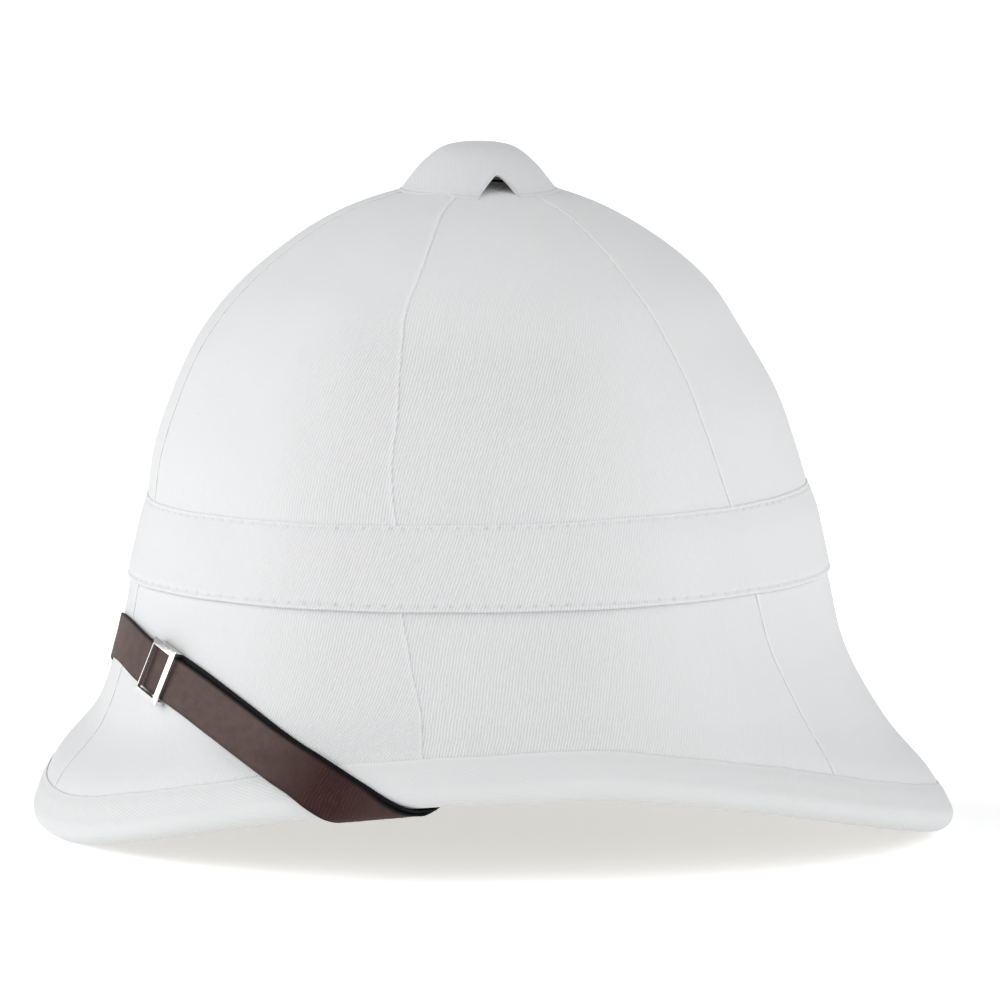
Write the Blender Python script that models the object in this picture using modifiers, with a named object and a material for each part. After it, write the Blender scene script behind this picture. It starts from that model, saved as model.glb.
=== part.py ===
"""Pith helmet of the tall foreign-service pattern, with its chin strap stowed over the front brim.

The helmet is modelled in its own frame: Z runs up the crown's axis from the level of the band's
lower edge, the front faces -Y and the wearer's left is +X. An empty then sets the whole helmet
down on its rim, front and back, as it rests on a table.

Angles round the helmet start at the front centre and grow towards the wearer's left.
"""
import math

import bmesh
import bpy
import numpy as np
from mathutils import Matrix, Vector

MM = 0.001          # every size below is in millimetres

# --- Outer form of the cloth cover ------------------------------------------------------------
# One row for each level, from the vent hole down to where the rim starts to roll under.
# Reaches are distances from the crown's axis, heights are above the band's lower edge, and the
# last two columns are the angles of the seams between the front, side and back panels.
SECTION_COLUMNS = ("front_reach", "front_height", "side_reach", "side_height",
                   "back_reach", "back_height", "front_seam", "back_seam")
SECTIONS = (
    (12.0, 138.4, 12.0, 138.4, 12.0, 138.4, 60.0, 119.0),       # edge of the vent hole
    (30.5, 134.8, 29.0, 134.8, 29.0, 134.8, 58.5, 117.5),       # just outside the ventilator cap
    (50.0, 128.0, 46.5, 128.0, 46.5, 128.0, 58.5, 117.0),
    (68.5, 117.0, 63.5, 117.0, 65.0, 117.0, 59.0, 117.0),
    (86.5, 102.0, 78.5, 102.0, 82.0, 102.0, 59.0, 118.0),
    (100.5, 84.0, 89.0, 84.0, 94.0, 84.0, 60.0, 120.0),
    (110.0, 64.0, 97.0, 64.0, 105.5, 64.0, 60.5, 121.5),
    (116.5, 44.0, 101.5, 44.0, 113.0, 44.0, 61.0, 123.0),
    (119.5, 22.0, 104.5, 22.0, 119.5, 22.0, 62.5, 125.0),
    (124.5, 0.0, 108.0, 0.0, 124.5, 0.0, 63.5, 127.0),          # lower edge of the band
    (129.3, -24.0, 113.0, -16.5, 131.0, -27.5, 65.5, 128.0),
    (137.5, -48.0, 120.0, -33.0, 146.5, -55.0, 67.5, 128.0),
    (153.0, -67.0, 127.0, -45.5, 163.0, -74.5, 69.0, 127.0),
    (158.5, -80.5, 132.0, -54.5, 170.5, -88.5, 69.5, 126.5),    # start of the rolled rim
)
LAST = len(SECTIONS) - 1
HEAD_LEVEL = 9.0                    # row of the band's lower edge
FRONT_SWEEP = 2.7                   # how fast the rim drops from the sides towards the front
BACK_SWEEP = 1.4                    # the same towards the back
LEVEL_ARC = math.radians(7.5)       # the rim runs level this far each side of front and back centre

# --- Wall build-up, from the outside in --------------------------------------------------------
CLEARANCE = 0.3                     # gap between pieces that touch
COVER = 1.0                         # twill
BAND = 1.2
SHELL = 4.0
BINDING = 0.8
SEAM_GAP = 0.4                      # between the edges of neighbouring panels
COLUMNS_PER_PANEL = 7
INNER_WALL = COVER + CLEARANCE + SHELL + CLEARANCE + BINDING     # from the cover to the binding inside
PANELS = ("front_left", "side_left", "back_left", "back_right", "side_right", "front_right")

# --- Band --------------------------------------------------------------------------------------
BAND_HEIGHT_FRONT = 29.0
BAND_HEIGHT_BACK = 31.5

# --- Rim ---------------------------------------------------------------------------------------
ROLL_RADIUS = 6.0                   # outside of the binding
BINDING_WIDTH = 10.0                # flat part of the binding above the roll, outside
BINDING_INNER_WIDTH = 9.0           # the same inside the brim
PANEL_END = 4.8                     # the panels stop this far above the roll

# --- Ventilator cap ----------------------------------------------------------------------------
CAP_WALL = 1.5
CAP_COLUMNS = 24
CAP_CENTRE = -0.6                   # along Y
# radius and height above the cap's base
CAP_PROFILE = ((27.5, 0.0), (26.9, 3.0), (24.0, 7.2), (19.2, 11.8), (14.6, 14.2), (8.0, 16.0))
CAP_BASE = 136.0                    # height of the cap's edge
NOTCH_WIDTH = 14.5
NOTCH_HEIGHT = 7.6

# --- Chin strap --------------------------------------------------------------------------------
STRAP_WIDTH = 16.0
STRAP = 1.3
STRAP_SEAT = 0.45                   # clearance under the strap
STRAP_INNER_ROOM = 0.8              # more of it inside the rim
# The centre line at every STRAP_STEP degrees from the front: its way above the roll outside. Below
# 0 it goes round the roll and then up the inside of the brim.
STRAP_STEP = 9.0
STRAP_COURSE = (68.2, 65.0, 58.3, 48.8, 36.0, 21.4, 6.2, -10.6, -26.4, -39.0, -49.5, -59.5)
STRAP_END_ANGLE = 97.0
STRAP_LEAN = 5.0                    # degrees for which the strap stays high to the right of the front
STRAP_LIFT_START = 5.0              # angles at which the strap climbs onto its second layer
STRAP_LIFT_END = 13.0
STRAP_DROP_START = 69.0             # and comes down again, past the second layer's end
STRAP_DROP_END = 76.0
UNDERLAY_START = 20.6               # the second layer begins past the slide
UNDERLAY_SHIFT = 1.3                # and shows this far above the strap's upper edge
STRAP_ACROSS = 6                    # faces across the strap

# --- Slide and studs ---------------------------------------------------------------------------
SLIDE_ANGLE = 18.3
SLIDE_LENGTH = 14.0                 # along the strap
SLIDE_WIDTH = 20.2                  # across it
SLIDE_BAR = 1.6
SLIDE_BAR_DEPTH = 1.2
SLIDE_ROOM = 0.3                    # above the strap, under the two outer bars
SLIDE_LIFT = 0.25                  # keeps its ends clear of the flaring brim
STUD_RADIUS = 4.5
STUD_DEPTH = 1.8

# --- Materials: base colour, roughness, metallic -------------------------------------------------
FINISHES = {
    "white_twill": ((0.80, 0.81, 0.82), 0.85, 0.0),
    "white_binding": ((0.80, 0.81, 0.82), 0.85, 0.0),
    "moulded_shell": ((0.55, 0.46, 0.33), 0.90, 0.0),
    "brown_leather": ((0.105, 0.060, 0.052), 0.45, 0.0),
    "nickel_plate": ((0.72, 0.72, 0.70), 0.22, 1.0),
}


# ------------------------------------------------------------------------------------------------
# The form
# ------------------------------------------------------------------------------------------------
TABLE = np.array(SECTIONS)


def section_at(level):
    """The table's row at any level, on a smooth curve through the rows."""
    level = np.clip(np.asarray(level, float), 0.0, LAST - 1e-9)
    row = np.floor(level).astype(int)
    part = (level - row)[..., None]
    first = 2.0 * TABLE[0] - TABLE[1]
    last = 2.0 * TABLE[-1] - TABLE[-2]
    rows = np.vstack((first, TABLE, last))
    a, b, c, d = (rows[row + k] for k in range(4))
    return 0.5 * (2.0 * b + (c - a) * part + (2.0 * a - 5.0 * b + 4.0 * c - d) * part ** 2
                  + (3.0 * b - a - 3.0 * c + d) * part ** 3)


def cover_point(angle, level):
    """A point of the cover's outside."""
    angle, level = np.broadcast_arrays(np.asarray(angle, float), np.asarray(level, float))
    row = section_at(level)
    cosine = np.cos(angle)
    front = cosine > 0.0
    reach = np.where(front, row[..., 0], row[..., 4])
    end_height = np.where(front, row[..., 1], row[..., 5])
    sweep = np.where(front, FRONT_SWEEP, BACK_SWEEP)
    share = np.minimum(1.0, np.abs(cosine) / math.cos(LEVEL_ARC)) ** sweep
    x = row[..., 2] * np.sin(angle)
    y = -reach * cosine
    z = row[..., 3] + (end_height - row[..., 3]) * share
    return np.stack((x, y, z), axis=-1)


def unit(vectors):
    return vectors / np.linalg.norm(vectors, axis=-1, keepdims=True)


def cover_normal(angle, level):
    """The outward direction there."""
    step_angle, step_level = 1e-3, 1e-3
    level = np.clip(level, step_level, LAST - step_level)
    around = cover_point(angle + step_angle, level) - cover_point(angle - step_angle, level)
    down = cover_point(angle, level + step_level) - cover_point(angle, level - step_level)
    return unit(np.cross(down, around))


def offset_point(angle, level, lift):
    """A point at a distance outside the cover, or inside it where lift is negative."""
    return cover_point(angle, level) + cover_normal(angle, level) * np.asarray(lift, float)[..., None]


def level_above_rim(angle, distance):
    """The level that lies a distance above the roll, measured along the cover."""
    levels = np.linspace(HEAD_LEVEL - 2.0, LAST, 400)
    points = cover_point(angle, levels)
    steps = np.linalg.norm(np.diff(points, axis=0), axis=1)
    above = np.concatenate((np.cumsum(steps[::-1])[::-1], (0.0,)))
    return float(np.interp(-distance, -above, levels))


def level_at_height(angle, height):
    """The level whose point lies at a height."""
    levels = np.linspace(0.0, LAST, 600)
    return float(np.interp(-height, -cover_point(angle, levels)[:, 2], levels))


def roll_frame(angle):
    """The rolled rim at an angle: its centre, the direction down the brim and the one out of it."""
    edge = cover_point(angle, float(LAST))
    down = unit(edge - cover_point(angle, LAST - 0.02))
    around = cover_point(angle + 1e-3, float(LAST)) - cover_point(angle - 1e-3, float(LAST))
    out = unit(np.cross(down, around))
    centre = edge + out * (CLEARANCE + BINDING - ROLL_RADIUS)
    return centre, down, out


def roll_point(angle, turn, radius):
    """A point round the roll, turned from its outer face towards its underside."""
    centre, down, out = roll_frame(angle)
    return centre + radius * (out * math.cos(turn) + down * math.sin(turn))


def column_angle(column, level):
    """The angle of a column of faces: the columns follow the panels' seams."""
    row = section_at(level)
    front_seam, back_seam = math.radians(row[6]), math.radians(row[7])
    seams = (0.0, front_seam, back_seam, math.pi,
             2.0 * math.pi - back_seam, 2.0 * math.pi - front_seam, 2.0 * math.pi)
    return float(np.interp(column / COLUMNS_PER_PANEL, range(7), seams))


# ------------------------------------------------------------------------------------------------
# Meshes
# ------------------------------------------------------------------------------------------------
def own_material(name, finish):
    """A material of the piece's own, in one of the finishes."""
    colour, roughness, metallic = FINISHES[finish]
    material = bpy.data.materials.new(name)
    material.use_nodes = True
    shader = material.node_tree.nodes["Principled BSDF"]
    shader.inputs["Base Color"].default_value = (*colour, 1.0)
    shader.inputs["Roughness"].default_value = roughness
    shader.inputs["Metallic"].default_value = metallic
    material.diffuse_color = (*colour, 1.0)
    return material


def add_object(name, mesh, finish, smooth=True):
    """An object of the helmet, on the empty that sets it down."""
    if smooth:
        mesh.shade_smooth()
        mesh.set_sharp_from_angle(angle=math.radians(40.0))
    mesh.materials.append(own_material(name + "_" + finish, finish))
    piece = bpy.data.objects.new(name, mesh)
    helmet_collection.objects.link(piece)
    piece.parent = rest_empty
    return piece


def mesh_from(name, build):
    """A mesh filled by a function that works on a bmesh."""
    mesh = bpy.data.meshes.new(name)
    shape = bmesh.new()
    build(shape)
    shape.to_mesh(mesh)
    shape.free()
    return mesh


def add_rows(shape, rows):
    """Vertices for each row of points, in metres."""
    return [[shape.verts.new(Vector(point) * MM) for point in row] for row in rows]


def join_rows(shape, upper, lower, around):
    """Quads between two rows of vertices, facing out where the rows run down and leftwards."""
    count = len(upper)
    for k in range(count if around else count - 1):
        following = (k + 1) % count
        shape.faces.new((upper[k], lower[k], lower[following], upper[following]))


def sheet(name, rows, around, thickness, outward, finish):
    """An open sheet through rows of points, thickened by Solidify inwards or outwards."""
    def build(shape):
        vertices = add_rows(shape, rows)
        for upper, lower in zip(vertices, vertices[1:]):
            join_rows(shape, upper, lower, around)

    piece = add_object(name, mesh_from(name, build), finish)
    solidify = piece.modifiers.new("thickness", "SOLIDIFY")
    solidify.thickness = thickness * MM
    solidify.offset = 1.0 if outward else -1.0
    solidify.use_even_offset = True
    solidify.use_quality_normals = True
    return piece


def loft(name, rings, closed, finish):
    """A solid lofted through rings of points: closed on itself, or with a flat face at each end."""
    def build(shape):
        vertices = add_rows(shape, rings)
        for upper, lower in zip(vertices, vertices[1:]):
            join_rows(shape, upper, lower, True)
        if closed:
            join_rows(shape, vertices[-1], vertices[0], True)
        else:
            shape.faces.new(vertices[0])
            shape.faces.new(vertices[-1])
        bmesh.ops.recalc_face_normals(shape, faces=shape.faces)

    return add_object(name, mesh_from(name, build), finish)


def cut(piece, name, rings):
    """Cuts a prism lofted between two outlines out of a piece."""
    cutter = loft(name, rings, False, "nickel_plate")
    helmet_collection.objects.unlink(cutter)
    cutter_collection.objects.link(cutter)
    cutter.hide_render = True
    cutter.display_type = "WIRE"
    opening = piece.modifiers.new(name, "BOOLEAN")
    opening.operation = "DIFFERENCE"
    opening.solver = "EXACT"
    opening.object = cutter


# ------------------------------------------------------------------------------------------------
# Shell, cover and band
# ------------------------------------------------------------------------------------------------
CROWN_LEVELS = np.linspace(0.0, HEAD_LEVEL, 10)
BRIM_STEPS = (0.2, 0.38, 0.54, 0.68, 0.8, 0.9, 1.0)
ALL_COLUMNS = range(6 * COLUMNS_PER_PANEL)


def column_levels(column, end_distance):
    """Levels down one column, from the vent hole to a distance above the roll."""
    angle = column_angle(column, LAST)
    end = level_above_rim(angle, end_distance)
    return list(CROWN_LEVELS) + [HEAD_LEVEL + (end - HEAD_LEVEL) * step for step in BRIM_STEPS]


def column_line(column, levels, lift):
    """Points down one column at a distance outside the cover."""
    return [offset_point(column_angle(column, level), level, lift) for level in levels]


def build_shell():
    """The moulded crown and brim: a wall that ends in a round bead."""
    outside = -(COVER + CLEARANCE)
    bead = ROLL_RADIUS - BINDING - CLEARANCE - 0.1
    columns = []
    for column in ALL_COLUMNS:
        levels = column_levels(column, PANEL_END)
        rim_angle = column_angle(column, LAST)
        line = column_line(column, levels, outside)
        line += [roll_point(rim_angle, math.radians(turn), bead) for turn in (-35, 5, 45, 85, 125, 165)]
        inner_levels = levels[-1:-3:-1] + levels[-4::-2]
        columns.append(line + column_line(column, inner_levels, outside - SHELL))
    rings = [list(ring) for ring in zip(*columns)]
    return loft("shell_body", rings, True, "moulded_shell")


def build_panels():
    """Six gores, each a sheet from the vent hole to just above the roll."""
    for index, side in enumerate(PANELS):
        first = index * COLUMNS_PER_PANEL
        columns = []
        for step in range(COLUMNS_PER_PANEL + 1):
            column = first + step
            line = []
            for level in column_levels(column, PANEL_END):
                angle = column_angle(column, level)
                reach = np.linalg.norm(cover_point(angle, level)[:2])
                inset = 0.5 * SEAM_GAP / reach
                if step == 0:
                    angle += inset
                elif step == COLUMNS_PER_PANEL:
                    angle -= inset
                line.append(cover_point(angle, level))
            columns.append(line)
        rows = [list(row) for row in zip(*columns)]
        sheet("cover_panel_" + side, rows, False, COVER, False, "white_twill")


def build_band():
    """The band round the foot of the crown, a little taller at the back."""
    columns = []
    for column in ALL_COLUMNS:
        angle = column_angle(column, HEAD_LEVEL)
        toward_front = 0.5 + 0.5 * math.cos(angle)
        top = BAND_HEIGHT_BACK + (BAND_HEIGHT_FRONT - BAND_HEIGHT_BACK) * toward_front
        levels = [level_at_height(angle, top * share) for share in (1.0, 0.66, 0.33, 0.0)]
        columns.append(column_line(column, levels, CLEARANCE + BAND))
    sheet("puggaree_band", [list(row) for row in zip(*columns)], True, BAND, False, "white_twill")


def binding_line(column):
    """The binding's outside, from its outer edge round the roll to its inner edge."""
    angle = column_angle(column, LAST)
    proud = CLEARANCE + BINDING
    line = [offset_point(angle, level_above_rim(angle, BINDING_WIDTH * share), proud)
            for share in (1.0, 0.5)]
    line += [roll_point(angle, math.radians(turn), ROLL_RADIUS) for turn in range(0, 181, 30)]
    line += [offset_point(angle, level_above_rim(angle, BINDING_INNER_WIDTH * share), -INNER_WALL)
             for share in (0.6, 1.0)]
    return line


def build_binding():
    columns = [binding_line(column) for column in ALL_COLUMNS]
    rows = [list(row) for row in zip(*columns)]
    sheet("rim_binding", rows, True, BINDING, False, "white_binding")
    return np.array(rows)


# ------------------------------------------------------------------------------------------------
# Ventilator cap
# ------------------------------------------------------------------------------------------------
def cap_ring(radius, height):
    """A level ring of the cap."""
    turns = np.linspace(0.0, 2.0 * math.pi, CAP_COLUMNS, endpoint=False)
    return [(radius * math.sin(turn), CAP_CENTRE - radius * math.cos(turn), CAP_BASE + height)
            for turn in turns]


def build_cap():
    """A hollow dome on the crown's top, with an arched notch on each side."""
    outside = [cap_ring(radius, height) for radius, height in CAP_PROFILE]
    inside = [cap_ring(radius - CAP_WALL, height) for radius, height in CAP_PROFILE[:1]]
    inside += [cap_ring(radius - 0.8 * CAP_WALL, height - 0.6 * CAP_WALL)
               for radius, height in CAP_PROFILE[1:4]]
    inside += [cap_ring(radius - 0.3 * CAP_WALL, height - CAP_WALL)
               for radius, height in CAP_PROFILE[4:]]
    cap = loft("ventilator_cap", inside[::-1] + outside, False, "white_twill")
    half = 0.5 * NOTCH_WIDTH
    arch = [(-half, -2.0), (-half, 0.0)]
    arch += [(-half * math.cos(turn) ** 0.8, NOTCH_HEIGHT * math.sin(turn) ** 0.9)
             for turn in np.linspace(0.0, 0.5 * math.pi, 7)[1:]]
    arch += [(-across, up) for across, up in arch[-2::-1]]
    reach = CAP_PROFILE[0][0] + 5.0
    ends = (reach, -reach)
    rings = [[(x, CAP_CENTRE + across, CAP_BASE + up) for across, up in arch] for x in ends]
    cut(cap, "cap_notches", rings)


# ------------------------------------------------------------------------------------------------
# Chin strap, its slide and its studs
# ------------------------------------------------------------------------------------------------
def outer_skin_lift(distance):
    """How far the surface under the strap stands out of the cover: the binding is proud of it."""
    ramp = np.interp(distance, (BINDING_WIDTH + 1.5, BINDING_WIDTH + 9.0), (1.0, 0.0))
    return (CLEARANCE + BINDING) * float(ramp)


def rim_point(angle, across, lift):
    """A point by its way across the rim: negative above the roll outside, then round it and up inside."""
    wrap = math.pi * ROLL_RADIUS
    if across < 0.0:
        return offset_point(angle, level_above_rim(angle, -across), outer_skin_lift(-across) + lift)
    if across <= wrap:
        turn = across / ROLL_RADIUS
        return roll_point(angle, turn, ROLL_RADIUS + lift + STRAP_INNER_ROOM * math.sin(0.5 * turn) ** 2)
    distance = across - wrap
    roll_depth = 2.0 * ROLL_RADIUS - CLEARANCE - BINDING
    depth = np.interp(distance, (2.0, BINDING_INNER_WIDTH + 4.0), (roll_depth, INNER_WALL))
    return offset_point(angle, level_above_rim(angle, distance), -float(depth) - STRAP_INNER_ROOM - lift)


def strap_way(degrees):
    """The centre line's way across the rim at an angle, on a smooth curve through STRAP_COURSE."""
    last = 2.0 * STRAP_COURSE[-1] - STRAP_COURSE[-2]
    ways = (STRAP_COURSE[1], *STRAP_COURSE, last)
    row = min(int(degrees / STRAP_STEP), len(STRAP_COURSE) - 2)
    part = degrees / STRAP_STEP - row
    a, b, c, d = ways[row:row + 4]
    return -0.5 * (2.0 * b + (c - a) * part + (2.0 * a - 5.0 * b + 4.0 * c - d) * part ** 2
                   + (3.0 * b - a - 3.0 * c + d) * part ** 3)


def strap_course(count_front, count_wrap, count_inside):
    """The strap's centre line over its left half, as pairs of angle and way across the rim."""
    fine = np.linspace(0.0, STRAP_END_ANGLE, 500)
    turn, inside = np.interp((0.0, math.pi * ROLL_RADIUS), [strap_way(degrees) for degrees in fine], fine)
    places = list(turn * (1.0 - np.linspace(1.0, 0.0, count_front, endpoint=False) ** 1.35))
    places += list(np.linspace(turn, inside, count_wrap, endpoint=False))
    places += list(inside + (STRAP_END_ANGLE - inside) * np.linspace(0.0, 1.0, count_inside) ** 1.5)
    return [(math.radians(degrees), strap_way(degrees)) for degrees in places]


def whole_course(course):
    """The course from the right stud over the front to the left stud."""
    right = []
    for angle, _ in course[:0:-1]:
        degrees = math.degrees(angle)
        share = min(1.0, degrees / 60.0)
        lean = STRAP_LEAN * (1.0 - share * share * (3.0 - 2.0 * share))
        right.append((-angle, strap_way(max(0.0, degrees - lean))))
    return right + course


def skin_slopes(angle, across):
    """How a point of the outer skin moves with its angle and with its way across the rim."""
    step = 0.01
    turned = rim_point(angle + step, across, 0.0) - rim_point(angle - step, across, 0.0)
    crossed = rim_point(angle, across + step, 0.0) - rim_point(angle, across - step, 0.0)
    return np.stack((turned, crossed), axis=1) / (2.0 * step)


def walk(angle, across, heading, distance, steps):
    """Straight over the skin from a point: the places reached after each of a number of steps."""
    places = []
    for _ in range(steps):
        slopes = skin_slopes(angle, across)
        turn, cross = np.linalg.lstsq(slopes, heading * distance / steps, rcond=None)[0]
        angle, across = angle + turn, across + cross
        normal = unit(np.cross(*skin_slopes(angle, across).T))
        heading = unit(heading - normal * np.dot(heading, normal))
        places.append((angle, across))
    return places


def strap_rows(course, lift_at):
    """Rows of points across the strap, square to its course."""
    line = np.array([rim_point(angle, across, 0.0) for angle, across in course])
    tangents = unit(np.gradient(line, axis=0))
    half = STRAP_ACROSS // 2
    rows = []
    for (angle, across), tangent in zip(course, tangents):
        normal = unit(np.cross(*skin_slopes(angle, across).T))
        square = unit(np.cross(normal, tangent))
        sides = [walk(angle, across, square * way, 0.5 * STRAP_WIDTH, 2 * half)[1::2]
                 for way in (1.0, -1.0)]
        places = sides[0][::-1] + [(angle, across)] + sides[1]
        lift = lift_at(angle)
        rows.append([rim_point(*place, lift) for place in places])
    return rows


def main_lift(angle):
    """The strap's underside: on the cover, and on the second layer from the slide to the left rim."""
    ends = (STRAP_LIFT_START, STRAP_LIFT_END, STRAP_DROP_START, STRAP_DROP_END)
    raised = np.interp(math.degrees(angle), ends, (0.0, 1.0, 1.0, 0.0))
    return STRAP_SEAT + float(raised) * (STRAP + CLEARANCE)


def build_strap():
    course = strap_course(15, 11, 8)
    sheet("chin_strap", strap_rows(whole_course(course), main_lift), False, STRAP, True, "brown_leather")
    second = [(angle, across - UNDERLAY_SHIFT) for angle, across in course
              if UNDERLAY_START < math.degrees(angle) < STRAP_DROP_START]
    rows = strap_rows(second, lambda angle: STRAP_SEAT)
    sheet("chin_strap_underlay", rows, False, STRAP, True, "brown_leather")
    return course


def strap_place(course, degrees, lift):
    """The strap's frame at an angle outside: a point, the way along it, across it and out of it."""
    angles = [math.degrees(angle) for angle, _ in course]
    acrosses = [across for _, across in course]
    step = 1.0

    def at(value, height):
        return rim_point(math.radians(value), float(np.interp(value, angles, acrosses)), height)

    point = at(degrees, lift)
    along = unit(at(degrees + step, lift) - at(degrees - step, lift))
    out = unit(at(degrees, lift + 1.0) - at(degrees, lift))
    across = unit(np.cross(out, along))
    out = np.cross(along, across)
    frame = Matrix((along, across, out)).transposed().to_4x4()
    frame.translation = Vector(point) * MM
    return frame


def build_slide(course):
    """A slide of two rails, two bars over the strap and one under it."""
    height = 2.0 * (STRAP + CLEARANCE) + SLIDE_ROOM + SLIDE_BAR_DEPTH
    frame = strap_place(course, SLIDE_ANGLE, STRAP_SEAT + SLIDE_LIFT)

    def placed(along, across, up):
        return frame @ (Vector((along, across, up)) * MM) / MM

    half, side = 0.5 * SLIDE_LENGTH, 0.5 * SLIDE_WIDTH
    corners = ((-half, -side), (half, -side), (half, side), (-half, side))
    block = [[placed(along, across, up) for along, across in corners] for up in (height, 0.0)]
    slide = loft("strap_slide", block, False, "nickel_plate")
    under = height - SLIDE_BAR_DEPTH
    bar, middle, beyond = half - SLIDE_BAR, 0.5 * SLIDE_BAR, half + 1.0
    window = ((-beyond, -1.0), (-middle, -1.0), (-middle, SLIDE_BAR_DEPTH), (middle, SLIDE_BAR_DEPTH),
              (middle, -1.0), (beyond, -1.0), (beyond, under), (bar, under), (bar, height + 1.0),
              (-bar, height + 1.0), (-bar, under), (-beyond, under))
    inner = side - SLIDE_BAR
    cut(slide, "slide_window", [[placed(along, across, up) for along, up in window]
                                for across in (-inner, inner)])


def build_stud(name, course, side):
    """A plain rivet head on the strap's end, inside the brim."""
    angle, across = course[-2]
    lift = (main_lift(angle) if side > 0 else STRAP_SEAT) + STRAP + CLEARANCE
    base = rim_point(side * angle, across, lift)
    out = unit(rim_point(side * angle, across, lift + 1.0) - base)
    turn = Vector((0.0, 0.0, 1.0)).rotation_difference(Vector(out)).to_matrix().to_4x4()
    turn.translation = Vector(base + out * 0.5 * STUD_DEPTH) * MM

    def build(shape):
        bmesh.ops.create_cone(shape, cap_ends=True, segments=16, radius1=STUD_RADIUS * MM,
                              radius2=0.75 * STUD_RADIUS * MM, depth=STUD_DEPTH * MM, matrix=turn)

    add_object(name, mesh_from(name, build), "nickel_plate")


# ------------------------------------------------------------------------------------------------
# The helmet as it rests
# ------------------------------------------------------------------------------------------------
def rest_matrix(rim_rows):
    """Tips the helmet until front and back rim share one level, and stands it centred on Z = 0."""
    front, _, _ = roll_frame(0.0)
    back, _, _ = roll_frame(math.pi)
    pitch = Matrix.Rotation(math.atan2(front[2] - back[2], back[1] - front[1]), 4, "X")
    points = rim_rows.reshape(-1, 3) @ np.array(pitch.to_3x3()).T
    low, high = points.min(axis=0), points.max(axis=0)
    shift = Vector((-0.5 * (low[0] + high[0]), -0.5 * (low[1] + high[1]), -low[2])) * MM
    return Matrix.Translation(shift) @ pitch


for old in list(bpy.data.objects):
    bpy.data.objects.remove(old, do_unlink=True)
helmet_collection = bpy.data.collections.new("pith_helmet")
cutter_collection = bpy.data.collections.new("cutters")
bpy.context.scene.collection.children.link(helmet_collection)
bpy.context.scene.collection.children.link(cutter_collection)
rest_empty = bpy.data.objects.new("resting_place", None)
helmet_collection.objects.link(rest_empty)

build_shell()
build_panels()
build_band()
rim = build_binding()
build_cap()
strap_line = build_strap()
build_slide(strap_line)
build_stud("strap_stud_left", strap_line, 1)
build_stud("strap_stud_right", strap_line, -1)
rest_empty.matrix_world = rest_matrix(rim)
bpy.context.view_layer.update()
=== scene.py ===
"""The looks of the pith helmet: its cloth, seams, stitching, leather strap and slide.

Shapes are worked out in millimetres in the helmet's own frame, as in the CAD source: Z runs up the
crown from the band's lower edge, the front faces -Y and the wearer's left is +X. rest() then sets
them down on the rim in the row frame, in metres.
"""

import math

import bmesh
import bpy
import numpy as np
from mathutils import Matrix, Vector


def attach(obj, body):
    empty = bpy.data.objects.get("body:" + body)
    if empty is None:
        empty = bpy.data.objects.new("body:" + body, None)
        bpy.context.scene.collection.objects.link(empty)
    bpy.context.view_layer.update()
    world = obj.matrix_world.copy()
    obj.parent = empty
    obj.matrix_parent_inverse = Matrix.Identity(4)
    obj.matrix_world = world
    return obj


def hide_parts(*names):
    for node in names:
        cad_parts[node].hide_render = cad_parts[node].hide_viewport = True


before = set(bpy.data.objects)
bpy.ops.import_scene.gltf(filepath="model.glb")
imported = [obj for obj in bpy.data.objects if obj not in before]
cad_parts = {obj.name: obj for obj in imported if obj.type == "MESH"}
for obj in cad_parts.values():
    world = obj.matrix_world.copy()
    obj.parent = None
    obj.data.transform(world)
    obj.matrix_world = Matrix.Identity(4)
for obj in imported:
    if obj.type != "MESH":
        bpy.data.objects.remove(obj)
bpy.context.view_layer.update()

MM = 0.001
TAU = 2.0 * math.pi
UP = np.array((0.0, 0.0, 1.0))

# ---- The form, as the CAD has it ----
# front reach and height, side reach and height, back reach and height, front seam, back seam
SECTIONS = np.array((
    (12.0, 138.4, 12.0, 138.4, 12.0, 138.4, 60.0, 119.0),
    (30.5, 134.8, 29.0, 134.8, 29.0, 134.8, 58.5, 117.5),
    (50.0, 128.0, 46.5, 128.0, 46.5, 128.0, 58.5, 117.0),
    (68.5, 117.0, 63.5, 117.0, 65.0, 117.0, 59.0, 117.0),
    (86.5, 102.0, 78.5, 102.0, 82.0, 102.0, 59.0, 118.0),
    (100.5, 84.0, 89.0, 84.0, 94.0, 84.0, 60.0, 120.0),
    (110.0, 64.0, 97.0, 64.0, 105.5, 64.0, 60.5, 121.5),
    (116.5, 44.0, 101.5, 44.0, 113.0, 44.0, 61.0, 123.0),
    (119.5, 22.0, 104.5, 22.0, 119.5, 22.0, 62.5, 125.0),
    (124.5, 0.0, 108.0, 0.0, 124.5, 0.0, 63.5, 127.0),
    (129.3, -24.0, 113.0, -16.5, 131.0, -27.5, 65.5, 128.0),
    (137.5, -48.0, 120.0, -33.0, 146.5, -55.0, 67.5, 128.0),
    (153.0, -67.0, 127.0, -45.5, 163.0, -74.5, 69.0, 127.0),
    (158.5, -80.5, 132.0, -54.5, 170.5, -88.5, 69.5, 126.5),
))
LAST = len(SECTIONS) - 1
HEAD_LEVEL = 9.0
FRONT_SWEEP, BACK_SWEEP = 2.7, 1.4
LEVEL_ARC = math.radians(7.5)

CLEARANCE = 0.3
COVER = 1.0
SHELL = 4.0
BINDING = 0.8
PROUD = CLEARANCE + BINDING         # the binding's outside over the cover's
INNER_WALL = COVER + CLEARANCE + SHELL + CLEARANCE + BINDING
BAND_HEIGHT_FRONT, BAND_HEIGHT_BACK = 28.5, 31.5
ROLL_RADIUS = 6.0
BINDING_WIDTH, BINDING_INNER_WIDTH = 10.0, 9.0
PANEL_END = 4.8
CAD_COLUMNS = 7                     # to a panel, in the CAD

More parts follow.
